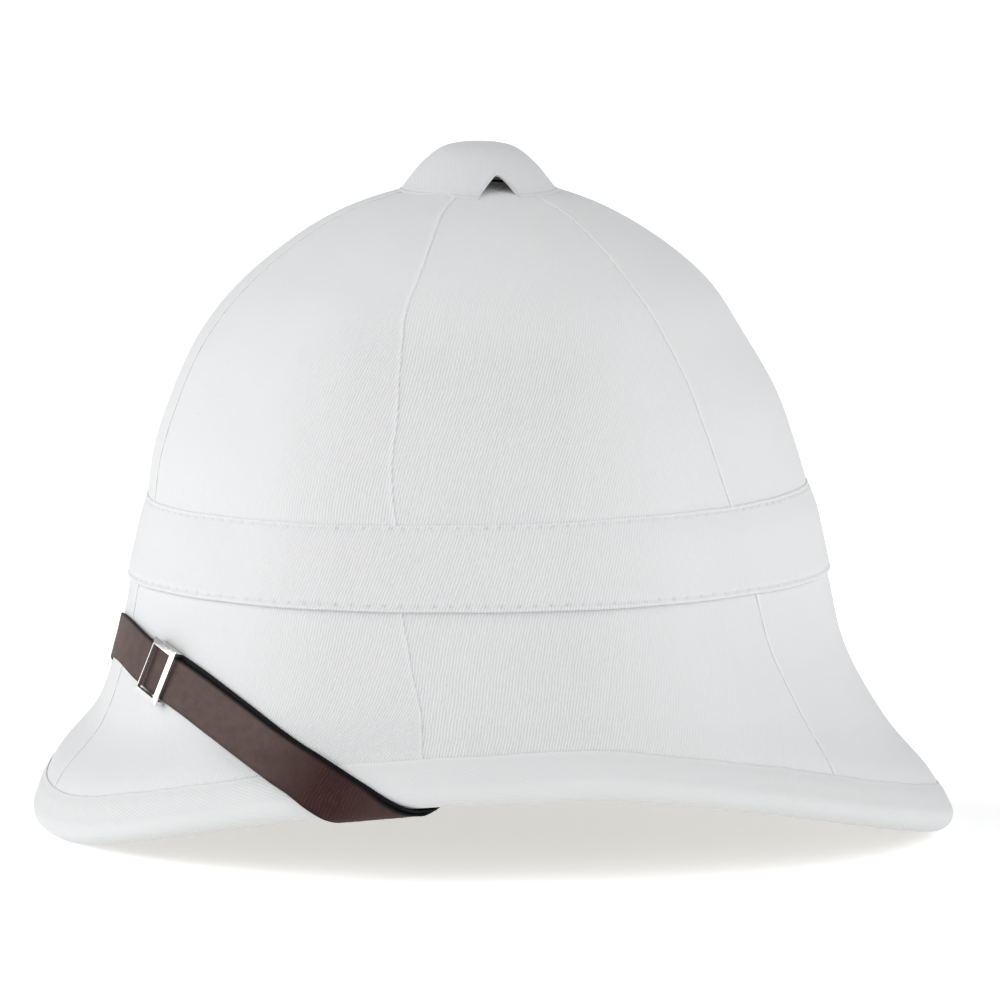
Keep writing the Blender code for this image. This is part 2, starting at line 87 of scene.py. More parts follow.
STRAP_WIDTH, STRAP = 16.0, 1.3
STRAP_SEAT, STRAP_INNER_ROOM = 0.45, 0.8
# the centre line's way above the roll at every STRAP_STEP degrees; below 0 it goes round and up inside
STRAP_STEP = 9.0
STRAP_COURSE = (68.2, 65.0, 58.3, 48.8, 36.0, 21.4, 6.2, -10.6, -26.4, -39.0, -49.5, -59.5)
STRAP_END_ANGLE = 97.0
STRAP_LEAN = 5.0                    # degrees for which the strap stays high to the right of the front
UNDERLAY_START, UNDERLAY_END, UNDERLAY_SHIFT = 19.0, 70.0, 1.6
SLIDE_ANGLE, SLIDE_TURN = 18.0, -1.6
SLIDE_LENGTH, SLIDE_WIDTH = 15.0, 20.8


def unit(vectors):
    return vectors / np.linalg.norm(vectors, axis=-1, keepdims=True)


def spline(a, b, c, d, part):
    """A place between b and c, a part of the way along the smooth curve through a, b, c and d."""
    return 0.5 * (2.0 * b + (c - a) * part + (2.0 * a - 5.0 * b + 4.0 * c - d) * part ** 2
                  + (3.0 * b - a - 3.0 * c + d) * part ** 3)


def circle(count, start=0.0):
    """Angles evenly once round."""
    return start + np.linspace(0.0, TAU, count, endpoint=False)


def clamp(x):
    return np.clip(x, 0.0, 1.0)


def ease(x):
    """From 0 to 1, slowly at both ends."""
    return x * x * (3.0 - 2.0 * x)


def inner_shares(count):
    """Shares evenly between 0 and 1, without the two."""
    return np.linspace(0.0, 1.0, count + 2)[1:-1]


def look_up(x, pairs):
    return np.interp(x, *np.array(pairs).T)


def bell(x, middle, width):
    return np.exp(-((x - middle) / width) ** 2)


def run_along(points):
    """The way gone along a line of points, or along each column of them, from 0 at the first."""
    steps = np.linalg.norm(np.diff(points, axis=0), axis=-1)
    return np.concatenate((0.0 * steps[:1], np.cumsum(steps, axis=0)))


def run_round(ring):
    """The way gone round a closed ring of points, and its whole girth."""
    run = run_along(ring)
    return run, run[-1] + np.linalg.norm(ring[0] - ring[-1])


def section_at(level):
    """The table's row at any level, on a smooth curve through the rows."""
    level = np.clip(np.asarray(level, float), 0.0, LAST - 1e-9)
    row = np.floor(level).astype(int)
    rows = np.vstack((2.0 * SECTIONS[0] - SECTIONS[1], SECTIONS, 2.0 * SECTIONS[-1] - SECTIONS[-2]))
    return spline(*(rows[row + k] for k in range(4)), (level - row)[..., None])


def cover_point(angle, level):
    """A point of the cover's outside."""
    angle, level = np.broadcast_arrays(np.asarray(angle, float), np.asarray(level, float))
    row = section_at(level)
    cosine = np.cos(angle)
    front = cosine > 0.0
    reach = np.where(front, row[..., 0], row[..., 4])
    end_height = np.where(front, row[..., 1], row[..., 5])
    sweep = np.where(front, FRONT_SWEEP, BACK_SWEEP)
    share = np.minimum(1.0, np.abs(cosine) / math.cos(LEVEL_ARC)) ** sweep
    return np.stack((row[..., 2] * np.sin(angle), -reach * cosine,
                     row[..., 3] + (end_height - row[..., 3]) * share), axis=-1)


def cover_normal(angle, level):
    """The outward direction there."""
    step = 1e-3
    level = np.clip(level, step, LAST - step)
    around = cover_point(angle + step, level) - cover_point(angle - step, level)
    down = cover_point(angle, level + step) - cover_point(angle, level - step)
    return unit(np.cross(down, around))


def offset_point(angle, level, lift):
    return cover_point(angle, level) + cover_normal(angle, level) * np.asarray(lift, float)[..., None]


def interp_rows(x, xs, ys):
    """np.interp for each row of a table."""
    return np.stack([np.interp(a, b, c) for a, b, c in zip(x, xs, ys)])


def level_above_rim(angles, distances):
    """Levels at distances above the roll, measured along the cover: one row for each angle."""
    angles = np.atleast_1d(angles)
    distances = np.broadcast_to(distances, (len(angles), np.shape(np.atleast_1d(distances))[-1]))
    levels = np.linspace(HEAD_LEVEL - 2.0, LAST, 300)
    points = cover_point(angles[:, None], levels[None, :])
    steps = np.linalg.norm(np.diff(points, axis=1), axis=2)
    above = np.concatenate((np.cumsum(steps[:, ::-1], axis=1)[:, ::-1], np.zeros((len(angles), 1))), axis=1)
    return interp_rows(distances, above[:, ::-1], np.broadcast_to(levels[::-1], above.shape))


def level_at_height(angles, heights):
    """Levels whose points lie at the given heights: one row for each angle."""
    levels = np.linspace(0.0, LAST, 700)
    z = cover_point(np.atleast_1d(angles)[:, None], levels[None, :])[..., 2]
    return interp_rows(heights, z[:, ::-1], np.broadcast_to(levels[::-1], z.shape))


def roll_frame(angle):
    """The rolled rim at an angle: its centre, the direction down the brim and the one out of it."""
    edge = cover_point(angle, float(LAST))
    down = unit(edge - cover_point(angle, LAST - 0.02))
    around = cover_point(angle + 1e-3, float(LAST)) - cover_point(angle - 1e-3, float(LAST))
    out = unit(np.cross(down, around))
    return edge + out * (PROUD - ROLL_RADIUS), down, out


def roll_point(angle, turn, radius):
    centre, down, out = roll_frame(angle)
    turn, radius = np.asarray(turn, float)[..., None], np.asarray(radius, float)[..., None]
    return centre + radius * (out * np.cos(turn) + down * np.sin(turn))


def seam_angles(level):
    """The six seams' angles at a level, from the front centre round to it again."""
    row = section_at(level)
    front, back = np.radians(row[..., 6]), np.radians(row[..., 7])
    zero = np.zeros_like(front)
    return np.stack((zero, front, back, zero + math.pi, TAU - back, TAU - front, zero + TAU), axis=-1)


def cad_rest():
    """The CAD's placing of the helmet on its rim, worked out from the same rows of its binding."""
    angles = np.interp(np.arange(6 * CAD_COLUMNS) / CAD_COLUMNS, range(7), seam_angles(float(LAST)))
    lines = [offset_point(angles, level_above_rim(angles, [BINDING_WIDTH * share])[:, 0], PROUD)
             for share in (1.0, 0.5)]
    lines += [roll_point(angles, math.radians(turn), ROLL_RADIUS) for turn in range(0, 181, 30)]
    front, back = roll_frame(0.0)[0], roll_frame(math.pi)[0]
    pitch = Matrix.Rotation(math.atan2(front[2] - back[2], back[1] - front[1]), 4, "X")
    points = np.concatenate(lines) @ np.array(pitch.to_3x3()).T
    low, high = points.min(axis=0), points.max(axis=0)
    shift = Vector((-0.5 * (low[0] + high[0]), -0.5 * (low[1] + high[1]), -low[2])) * MM
    return Matrix.Translation(shift) @ pitch


REST = cad_rest()
REST_TURN, REST_SHIFT = np.array(REST.to_3x3()), np.array(REST.translation)


def rest(points):
    """From the helmet's frame in millimetres to the row frame in metres."""
    return np.asarray(points) * MM @ REST_TURN.T + REST_SHIFT


def ripple(x, *waves):
    """A small irregularity: a sum of sine waves of (length, height, phase)."""
    return sum(height * np.sin(TAU * x / length + phase) for length, height, phase in waves)


# ---- Meshes ----
def link(name, data):
    """A new object in the scene, of a mesh, a light or a camera."""
    made = bpy.data.objects.new(name, data)
    bpy.context.scene.collection.objects.link(made)
    return made


def new_object(name, points, faces, material, attributes=()):
    """A smooth mesh object from points in the helmet's frame, riding on the helmet.

    The points may be in rows, and so may the attributes, which have one or three values for each point.
    """
    mesh = bpy.data.meshes.new(name)
    mesh.from_pydata(rest(flat(points)).tolist(), [], [list(map(int, face)) for face in faces])
    for key, values in dict(attributes).items():
        values = np.asarray(values, np.float32).ravel()
        vector = len(values) > len(mesh.vertices)
        layer = mesh.attributes.new(key, "FLOAT_VECTOR" if vector else "FLOAT", "POINT")
        layer.data.foreach_set("vector" if vector else "value", values)
    mesh.validate()
    mesh.shade_smooth()
    mesh.materials.append(material)
    piece = link(name, mesh)
    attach(piece, "root")
    return piece


def fix_facing(piece):
    """Turns a closed mesh's faces outward."""
    shape = bmesh.new()
    shape.from_mesh(piece.data)
    bmesh.ops.recalc_face_normals(shape, faces=shape.faces)
    shape.to_mesh(piece.data)
    shape.free()


def grid_faces(rows, columns, around=False, closed=False, start=0):
    """Quads over rows of points, facing out where rows run down and columns run leftwards."""
    upper = np.arange(rows if closed else rows - 1)
    across = np.arange(columns if around else columns - 1)
    i, j = (a.ravel() for a in np.meshgrid(upper, across, indexing="ij"))
    here, under, beside = i * columns, (i + 1) % rows * columns, (j + 1) % columns
    return start + np.stack((here + j, under + j, under + beside, here + beside), 1)


def fan(ring_start, count, tip):
    """Triangles from a ring of points, by their numbers, to a tip beyond it."""
    return [[ring_start + k, ring_start + (k + 1) % count, tip] for k in range(count)]


def flat(grid):
    return np.asarray(grid).reshape(-1, np.shape(grid)[-1])


# ---- Materials ----
class Nodes:
    """Small helper for building the nodes of a material, or of the world."""

    def __init__(self, name, kind="materials", shader="Principled BSDF"):
        self.owner = getattr(bpy.data, kind).new(name)
        self.owner.use_nodes = True
        self.tree = self.owner.node_tree
        self.shader = self.tree.nodes[shader]

    def node(self, kind, inputs=(), **settings):
        made = self.tree.nodes.new(kind)
        for key, value in settings.items():
            setattr(made, key, value)
        for key, value in dict(inputs).items():
            self.put(made.inputs[key], value)
        return made

    def put(self, socket, value):
        if hasattr(value, "is_output"):
            self.tree.links.new(value, socket)
        else:
            socket.default_value = value

    def surface(self, **inputs):
        """Sets the shader's inputs, with _ for each space in their names, and gives their owner."""
        for key, value in inputs.items():
            self.put(self.shader.inputs[key.replace("_", " ")], value)
        return self.owner

    def math(self, operation, *values):
        return self.node("ShaderNodeMath", dict(enumerate(values)), operation=operation).outputs[0]

    def add(self, first, second):
        return self.math("ADD", first, second)

    def mul(self, first, second):
        return self.math("MULTIPLY", first, second)

    def swing(self, noise, size):
        """A noise made to swing about 0."""
        return self.mul(self.math("SUBTRACT", noise, 0.5), size)

    def wave(self, phase):
        """A sine wave between 0 and 1."""
        return self.add(self.mul(self.math("SINE", phase), 0.5), 0.5)

    def attribute(self, name, output="Vector"):
        return self.node("ShaderNodeAttribute", attribute_name=name).outputs[output]

    def place(self, kind="Object"):
        return self.node("ShaderNodeTexCoord").outputs[kind]

    def noise(self, vector, scale, detail=2.0, roughness=0.5):
        inputs = {"Scale": scale, "Detail": detail, "Roughness": roughness, "Vector": vector}
        return self.node("ShaderNodeTexNoise", inputs).outputs["Fac"]

    def cells(self, vector, scale):
        inputs = {"Scale": scale, "Randomness": 1.0, "Vector": vector}
        return self.node("ShaderNodeTexVoronoi", inputs).outputs

    def ramp(self, value, low, high, start=0.0, end=1.0):
        inputs = {"From Min": low, "From Max": high, "To Min": start, "To Max": end, "Value": value}
        return self.node("ShaderNodeMapRange", inputs).outputs["Result"]

    def mix(self, share, first, second):
        inputs = {"Factor": share, "A": first, "B": second}
        return self.node("ShaderNodeMix", inputs, data_type="RGBA").outputs["Result"]

    def bump(self, height, strength, distance):
        inputs = {"Strength": strength, "Distance": distance, "Height": height}
        return self.node("ShaderNodeBump", inputs).outputs["Normal"]


def rgba(*colour):
    return (*colour, 1.0)


def twill_material(name, colour, lean, pitch, depth, tone):
    """Cotton twill: raised diagonal lines of short yarn floats, with flecks and faint unevenness.

    The cloth's own coordinates in millimetres are in the attribute "weave", its crispness, 0 to 1, in
    "grain" and a painted highlight along its folded crests in "fold". lean is the twill line's angle to
    the cloth's width, pitch the distance between lines, depth their relief and tone their contrast.
    """
    n = Nodes(name)
    weave, grain = n.attribute("weave"), n.attribute("grain", "Fac")
    x, y = n.node("ShaderNodeSeparateXYZ", {0: weave}).outputs[:2]
    cosine, sine = math.cos(math.radians(lean)), math.sin(math.radians(lean))
    across = n.add(n.mul(x, sine), n.mul(y, -cosine))
    along = n.add(n.mul(x, cosine), n.mul(y, sine))
    wander, shiver = n.swing(n.noise(weave, 0.11, 2.0), 0.9), n.swing(n.noise(weave, 0.75, 1.0), 0.38)
    phase = n.mul(n.add(n.add(across, wander), shiver), TAU / pitch)
    floats = n.wave(n.add(n.mul(along, TAU / (0.62 * pitch)), n.mul(phase, 0.5)))
    yarn = n.mul(n.wave(phase), n.add(n.mul(floats, 0.3), 0.7))
    slub = n.noise(weave, 1.7, 3.0, 0.6)
    crisp = n.mul(grain, n.ramp(n.noise(weave, 0.55, 2.0, 0.6), 0.3, 0.7, 0.7, 1.3))
    shade = n.math("MULTIPLY_ADD", n.math("SUBTRACT", yarn, 0.60), n.mul(crisp, tone), 1.0)
    shade = n.mul(shade, n.ramp(n.noise(weave, 0.035, 3.0), 0.3, 0.7, 0.985, 1.0))
    shade = n.mul(shade, n.ramp(slub, 0.25, 0.75, 0.985, 1.005))
    # painted highlight: the colour is up to 7% lighter along folded crests, standing in for the light they
    # catch
    shade = n.mul(shade, n.math("MULTIPLY_ADD", n.attribute("fold", "Fac"), 0.07, 1.0))
    cloth = n.node("ShaderNodeVectorMath", {0: colour, "Scale": shade}, operation="SCALE").outputs[0]
    spots = n.cells(weave, 0.085)
    rare = n.node("ShaderNodeSeparateColor", {0: spots["Color"]}).outputs[0]
    fleck = n.mul(n.math("LESS_THAN", spots["Distance"], 0.026), n.math("GREATER_THAN", rare, 0.62))
    relief = n.mul(n.add(yarn, n.mul(slub, 0.5)), n.math("MULTIPLY_ADD", grain, 0.7, 0.3))
    return n.surface(Base_Color=n.mix(n.mul(fleck, 0.35), cloth, rgba(0.30, 0.25, 0.19)),
                     Normal=n.bump(relief, 1.0, depth * MM), Roughness=0.9, Specular_IOR_Level=0.25,
                     Sheen_Weight=0.15, Sheen_Roughness=0.5)


def leather_material():
    """Dark brown strap leather: fine grain on the face, blackened cut edges, creases and painted shade where
    it wraps round the rim.
    """
    n = Nodes("strap_leather")
    place, edge, crease_and_shade = n.attribute("strap"), n.attribute("edge", "Fac"), n.attribute("crease_and_shade", "Fac")
    along = n.node("ShaderNodeSeparateXYZ", {0: place}).outputs[0]
    pores = n.ramp(n.cells(place, 2.6)["Distance"], 0.0, 0.45)
    mottle, fine = n.noise(place, 0.22, 4.0, 0.6), n.noise(place, 5.0, 2.0, 0.6)
    ripples = n.wave(n.add(n.mul(along, TAU / 1.25), n.mul(n.noise(place, 0.4, 2.0), 9.0)))
    wrinkle = n.mul(ripples, n.mul(crease_and_shade, n.noise(place, 0.5, 1.0)))
    face = n.mix(n.ramp(mottle, 0.3, 0.7), rgba(0.076, 0.051, 0.046), rgba(0.098, 0.068, 0.061))
    face = n.mix(n.mul(n.math("SUBTRACT", 1.0, pores), 0.35), face, rgba(0.034, 0.018, 0.015))
    # painted shade: the face goes almost black-red where the strap turns down round the rim, out of the
    # light
    face = n.mix(n.mul(crease_and_shade, 0.92), face, rgba(0.020, 0.006, 0.005))
    face = n.mix(n.mul(wrinkle, 0.55), face, rgba(0.080, 0.036, 0.032))
    relief = n.add(n.add(n.mul(pores, 0.35), n.mul(fine, 0.25)), n.mul(wrinkle, 1.1))
    return n.surface(Base_Color=n.mix(edge, face, rgba(0.004, 0.004, 0.005)),
                     Normal=n.bump(relief, 0.7, 0.00024), Roughness=n.ramp(fine, 0.3, 0.7, 0.52, 0.64),
                     Specular_IOR_Level=0.09)


def nickel_material():
    """Polished nickel plate with the faintest brushing."""
    n = Nodes("nickel_plate")
    haze = n.noise(n.place(), 900.0, 3.0)
    return n.surface(Base_Color=rgba(0.78, 0.78, 0.77), Metallic=1.0,
                     Roughness=n.ramp(haze, 0.3, 0.7, 0.16, 0.26))


def lining_material():
    """The plain inside: smooth cloth pasted to the moulded shell."""
    n = Nodes("plain_lining")
    broad, fine = n.noise(n.place(), 25.0, 3.0), n.noise(n.place(), 900.0, 2.0)
    return n.surface(Base_Color=n.mix(broad, rgba(0.60, 0.57, 0.50), rgba(0.68, 0.65, 0.58)),
                     Normal=n.bump(fine, 0.4, 0.0003), Roughness=0.92, Specular_IOR_Level=0.2)


def thread_material():
    n = Nodes("white_thread")
    twist = n.noise(n.place(), 2500.0, 1.0)
    return n.surface(Base_Color=n.mix(twist, rgba(0.55, 0.555, 0.56), rgba(0.62, 0.625, 0.63)),
                     Normal=n.bump(twist, 0.5, 0.0001), Roughness=0.75)


CLOTH = (0.614, 0.617, 0.622)
TAPE = (0.580, 0.583, 0.587)
# the cap's cloth, darkened a little as painted shade for the helmet's top, which faces away from the side
# lights
CAP_CLOTH_SHADED = (0.548, 0.556, 0.567)
CROWN_LEAN = 75.0                   # the crown's twill line, before the cloth is drawn into a panel
crown_twill = twill_material("crown_twill", CLOTH, CROWN_LEAN, 1.03, 0.14, 0.29)
band_twill = twill_material("band_twill", CLOTH, 73.0, 1.03, 0.14, 0.29)
bias_twill = twill_material("bias_twill", TAPE, 155.0, 1.03, 0.05, 0.03)
cap_twill = twill_material("cap_twill", CAP_CLOTH_SHADED, 80.0, 0.8, 0.04, 0.03)
leather = leather_material()
nickel = nickel_material()
lining = lining_material()
thread = thread_material()


# ---- Cover: six gores with lapped seams ----
# name, whether its first and second edges lap over the neighbour, and its twill line's angle
PANELS = (("front_left", False, True, 82.0), ("side_left", False, False, 64.5),
          ("back_left", True, True, 79.0), ("back_right", False, True, 69.0),
          ("side_right", False, False, 82.0), ("front_right", True, True, 64.5))
# distance in from a seam and height there: a folded edge lying on its neighbour, and the neighbour
# running on beneath it
OVER_EDGE = np.array((
    (0.30, -0.22), (0.08, -0.20), (-0.01, -0.12), (0.0, 0.05), (0.06, 0.14), (0.17, 0.21), (0.34, 0.25),
    (0.6, 0.27), (0.9, 0.26), (1.15, 0.22), (1.4, 0.15), (1.7, 0.07), (2.1, 0.02), (2.8, 0.0), (4.2, 0.0),
    (6.4, 0.0)))
UNDER_EDGE = np.array((
    (-1.0, -0.10), (-0.5, -0.10), (-0.1, -0.09), (0.15, -0.07), (0.4, -0.04), (0.7, -0.02), (1.1, 0.0),
    (1.9, 0.0), (2.8, 0.0), (4.2, 0.0), (6.4, 0.0)))
MIDDLE_STEPS = 26
PANEL_CLOTH = 0.25


def ridge(distance):
    """Where a folded edge gets its painted highlight: 1 on its crest and 0 beyond it."""
    return bell(distance, 0.65, 0.5)


def crispness(angle):
    """How crisp the twill is: clear at the sides, and smoothed towards the front and the back."""
    degrees = np.abs((np.degrees(angle) + 180.0) % 360.0 - 180.0)
    return np.interp(degrees, (34.0, 52.0, 91.0, 110.0), (0.13, 1.0, 1.0, 0.13))


def seam_lines(levels):
    """The seams' angles, wandering a little as a sewn seam does."""
    seams = seam_angles(levels)
    reach = 20.0 + 9.0 * np.minimum(levels, 9.0)
    for k in range(6):
        drift = ripple(levels * 14.0, (41.0, 0.30, k * 1.7), (17.0, 0.10, k * 2.3), (7.0, 0.04, k * 0.9))
        seams[..., k] += drift / reach
        if k == 0:
            seams[..., 6] += drift / reach
    return seams


def weave_at(along, down, place):
    """The cloth's own coordinates: across its width, up its length and a place of its own in the noise."""
    return np.stack(np.broadcast_arrays(along, -down, place), axis=-1)


def column_levels(angles, crown_rows, brim_rows):
    """Levels down the crown and the brim, as far as the panels go: one column for each angle."""
    crown = np.broadcast_to(np.linspace(0.0, HEAD_LEVEL, crown_rows), (len(angles), crown_rows))
    brim = np.linspace(0.0, 1.0, brim_rows + 1)[1:]
    end = level_above_rim(angles, [PANEL_END])
    return np.concatenate((crown, HEAD_LEVEL + (end - HEAD_LEVEL) * brim), axis=1).T


def build_panels():
    rim = seam_angles(float(LAST))
    for index, (side, over_first, over_second, lean) in enumerate(PANELS):
        first_edge = OVER_EDGE if over_first else UNDER_EDGE
        second_edge = (OVER_EDGE if over_second else UNDER_EDGE)[::-1]
        columns = len(first_edge) + MIDDLE_STEPS + len(second_edge)
        levels = column_levels(np.linspace(rim[index], rim[index + 1], columns), 80, 43)
        seams = seam_lines(levels)
        first, second = seams[..., index], seams[..., index + 1]
        centre = 0.5 * (first + second)
        centre_line = cover_point(centre, levels)
        width = (second - first) * np.linalg.norm(centre_line[..., :2], axis=-1)
        squeeze = np.minimum(1.0, width[:, :1] / 34.0)
        left = first_edge[:, 0] * squeeze
        right = width[:, -len(second_edge):] - second_edge[:, 0] * squeeze
        middle = inner_shares(MIDDLE_STEPS)
        middle = left[:, -1:] + (right[:, :1] - left[:, -1:]) * middle
        from_first = np.concatenate((left, middle, right), axis=1)
        to_second = width - from_first
        share = from_first / width
        angle = first + (second - first) * share
        run = run_along(centre_line)
        lift = np.zeros_like(from_first)
        lift[:, :len(first_edge)] += first_edge[:, 1]
        lift[:, -len(second_edge):] += second_edge[:, 1]
        pucker = np.exp(-np.abs(from_first) / 5.0) + np.exp(-np.abs(to_second) / 5.0)
        lift += pucker * ripple(run + 0.35 * from_first, (9.3, 0.030, index), (6.1, 0.020, 2.0 * index))
        slack = ripple(run, (71.0, 0.10, index), (43.0, 0.06, 1.0 + index))
        lift += slack * np.sin(math.pi * clamp(share))
        lift *= clamp(levels / 0.35)
        # the cloth's own width runs from the panel's centre line
        steps = np.linalg.norm(np.diff(cover_point(angle, levels), axis=1), axis=-1)
        steps *= np.sign(np.diff(angle, axis=1))
        across = np.concatenate((np.zeros((len(levels), 1)), np.cumsum(steps, axis=1)), axis=1)
        inner = slice(len(first_edge), columns - len(second_edge))
        across -= interp_rows(centre[:, columns // 2, None], angle[:, inner], across[:, inner])
        shear = 1.0 / math.tan(math.radians(lean)) - 1.0 / math.tan(math.radians(CROWN_LEAN))
        weave = weave_at(across + shear * run, run, 40.0 * index)
        grain = crispness(angle) * np.interp(levels, (3.4, 5.0), (0.1, 1.0))
        # painted highlight along the folded edges that lap over the neighbouring panel
        fold = ridge(from_first) * over_first + ridge(to_second) * over_second
        piece = new_object("twill_panel_" + side, offset_point(angle, levels, lift),
                           grid_faces(len(levels), columns), crown_twill,
                           {"weave": weave, "fold": fold, "grain": grain})
        solid = piece.modifiers.new("cloth", "SOLIDIFY")
        solid.thickness, solid.offset = PANEL_CLOTH * MM, -1.0
        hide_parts("cover_panel_" + side)


# ---- Shell, seen from below ----
def build_shell():
    columns = 144
    angles = circle(columns)
    outside = -(COVER + CLEARANCE)
    bead = ROLL_RADIUS - BINDING - CLEARANCE - 0.1
    levels = column_levels(angles, 30, 15)
    outer = offset_point(angles[None, :], levels, outside)
    roll = np.stack([roll_point(angles, turn, bead) for turn in np.radians(np.linspace(-35.0, 165.0, 12))])
    inner = offset_point(angles[None, :], levels[::-1], outside - SHELL)
    points = np.concatenate((outer, roll, inner))
    piece = new_object("moulded_body", points, grid_faces(len(points), columns, True, True), lining)
    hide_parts("shell_body")


# ---- Band with its stitch rows ----
TOP_STITCH = (1.25, 4.8)            # distance from the edge, and pitch
BOTTOM_STITCH = (1.7, 5.6)
STITCH_RADIUS, STITCH_SIDES = 0.17, 6
HOLE_DEPTH = 0.62


def band_top(angles):
    toward_front = 0.5 + 0.5 * np.cos(angles)
    return BAND_HEIGHT_BACK + (BAND_HEIGHT_FRONT - BAND_HEIGHT_BACK) * toward_front


def band_lift(down, height):
    """The band's outside over the cover, by distance from its top edge: pulled in at the stitch rows."""
    up = height - down
    swell = 0.17 + 1.33 * clamp(down / 9.0) ** 0.7 - 0.15 * clamp(1.0 - up / 3.0)
    pulled = 0.12 * bell(down, TOP_STITCH[0], 0.5) + 0.26 * bell(up, BOTTOM_STITCH[0], 0.6)
    return swell + 0.10 * bell(np.minimum(down, up), 0.5, 0.35) - pulled


def build_band():
    columns = 1240
    angles = circle(columns, math.pi)       # it is joined at the back
    run, girth = run_round(cover_point(angles, HEAD_LEVEL - 0.6))
    top_count, bottom_count = round(girth / TOP_STITCH[1]), round(girth / BOTTOM_STITCH[1])
    height = band_top(angles) + ripple(run, (girth / 9.0, 0.12, 0.5), (girth / 23.0, 0.06, 1.5))
    low = ripple(run, (girth / 7.0, 0.10, 2.0), (girth / 19.0, 0.06, 0.7))
    span = height - low
    edge_steps = np.array((0.0, 0.18, 0.4, 0.65, 0.9, 1.1, 1.3, 1.5, 1.75, 2.0, 2.3, 2.8, 3.6, 4.8))
    down = np.concatenate((np.broadcast_to(edge_steps, (columns, len(edge_steps))),
                           edge_steps[-1] + (span[:, None] - 2.0 * edge_steps[-1]) * inner_shares(7),
                           span[:, None] - edge_steps[::-1]), axis=1)
    up = span[:, None] - down
    levels = level_at_height(angles, height[:, None] - down)

    def holes(count, length, away, width):
        """The dimples where a row's thread goes in, away from the row's line."""
        phase = (run / girth * count) % 1.0
        along = np.minimum(phase, 1.0 - phase) * girth / count
        return HOLE_DEPTH * np.exp(-(along[:, None] / length) ** 2 - (away / width) ** 2)

    slack = ripple(run, (63.0, 0.10, 0.0), (29.0, 0.05, 1.0), (17.0, 0.03, 2.0))[:, None]
    lift = band_lift(down, span[:, None]) - (holes(top_count, 0.42, down - TOP_STITCH[0], 0.4)
                                             + holes(bottom_count, 0.45, up - BOTTOM_STITCH[0], 0.42))
    outer = offset_point(angles[:, None], levels, lift + slack * np.sin(math.pi * down / span[:, None]))
    # rounded turn at each edge, then the hidden underside
    top_turn = [offset_point(angles, levels[:, 0], over) + rise * UP
                for over, rise in ((0.03, 0.0), (0.04, 0.07), (0.10, 0.10))]
    bottom_turn = [offset_point(angles, levels[:, -1], over) - fall * UP
                   for over, fall in ((1.15, 0.22), (0.75, 0.32), (0.35, 0.20))]
    under = [offset_point(angles, levels[:, k], 0.12) for k in (-1, len(edge_steps), 1)]
    points = np.stack([*top_turn, *np.swapaxes(outer, 0, 1), *bottom_turn, *under])
    drop = np.concatenate((np.zeros((3, columns)), down.T, np.stack([span] * 4 + [0.5 * span, 0.0 * span])))
    # painted highlight along the band's turned top and bottom edges
    fold = 0.35 * ridge(drop + 0.2) + 0.3 * ridge(span - drop + 0.2)
    grain = np.broadcast_to(crispness(angles), drop.shape)
    piece = new_object("twill_band", points, grid_faces(len(points), columns, True, True), band_twill,
                       {"weave": weave_at(run, drop, 7.0), "fold": fold, "grain": grain})
    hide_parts("puggaree_band")

    # thread between the holes: its height along a stitch, and its thickness as a share of the radius
    bow = np.array((-0.40, -0.14, -0.07, -0.04, -0.07, -0.14, -0.40))
    radius = STITCH_RADIUS * np.array((0.5, 0.95, 1.0, 1.0, 1.0, 0.95, 0.5))

    def stitches(count, distance_down):
        centre = (np.arange(count) + 0.5) / count * girth
        marks = centre[:, None] + np.linspace(-0.36, 0.36, len(bow)) * girth / count

        def at_marks(values, last):
            return np.interp(marks, np.append(run, girth), np.append(values, last))

        mark_angle = at_marks(angles, angles[0] + TAU)
        top, long = at_marks(height, height[0]), at_marks(span, span[0])
        at = distance_down if distance_down > 0.0 else long + distance_down
        level = level_at_height(mark_angle.ravel(), (top - at).reshape(-1, 1))[:, 0].reshape(marks.shape)
        line = offset_point(mark_angle, level, band_lift(np.broadcast_to(at, marks.shape), long) + bow)
        normal = cover_normal(mark_angle, level)
        side = np.cross(unit(np.gradient(line, axis=1)), normal)
        turns = circle(STITCH_SIDES)
        return line[:, :, None] + radius[None, :, None, None] * (
            side[:, :, None] * np.cos(turns)[:, None] + normal[:, :, None] * np.sin(turns)[:, None])

    points, faces, start = [], [], 0
    for tube in (*stitches(top_count, TOP_STITCH[0]), *stitches(bottom_count, -BOTTOM_STITCH[0])):
        points.append(flat(tube))
        faces += grid_faces(len(bow), STITCH_SIDES, True, False, start).tolist()
        faces.append(list(range(start, start + STITCH_SIDES)))
        start += len(bow) * STITCH_SIDES
        faces.append(list(range(start - 1, start - 1 - STITCH_SIDES, -1)))
    piece = new_object("band_stitching", np.concatenate(points), faces, thread)


# ---- Binding over the thick rim ----
# its outside: share of the width above the roll, and lift over the cover
BINDING_OUTSIDE = ((1.0, 0.05), (1.006, 0.06), (1.010, 0.12), (1.008, 0.20), (1.0, 0.28), (0.96, 0.40),
                   (0.9, 0.51), (0.8, 0.69), (0.65, 0.92), (0.5, 1.05), (0.36, 1.10), (0.22, 1.12),
                   (0.1, 1.10))


